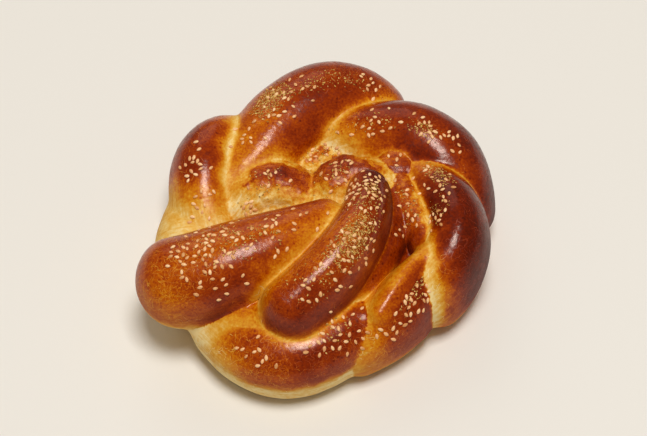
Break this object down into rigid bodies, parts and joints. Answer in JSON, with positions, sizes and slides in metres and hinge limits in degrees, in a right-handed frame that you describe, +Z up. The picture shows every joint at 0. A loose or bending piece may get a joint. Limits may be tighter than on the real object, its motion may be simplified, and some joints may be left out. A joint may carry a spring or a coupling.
{
  "type": "crown challah",
  "caption": "Round braided crown loaf of egg bread: fat glossy strands in a ring, the braid's two ends laid over the front, sesame seeds on the crust.",
  "frame": {"origin": "centre of the loaf's bounding box, on the flat underside", "axes": "+Z up, away from the surface it rests on; -Y towards the side where the braid's ends lie; +X to the right seen from there"},
  "size_m": [0.1748, 0.1856, 0.0704],
  "materials": {
    "crust": null
  },
  "bodies": {
    "root": {"loaf": "crust"}
  },
  "joints": []
}
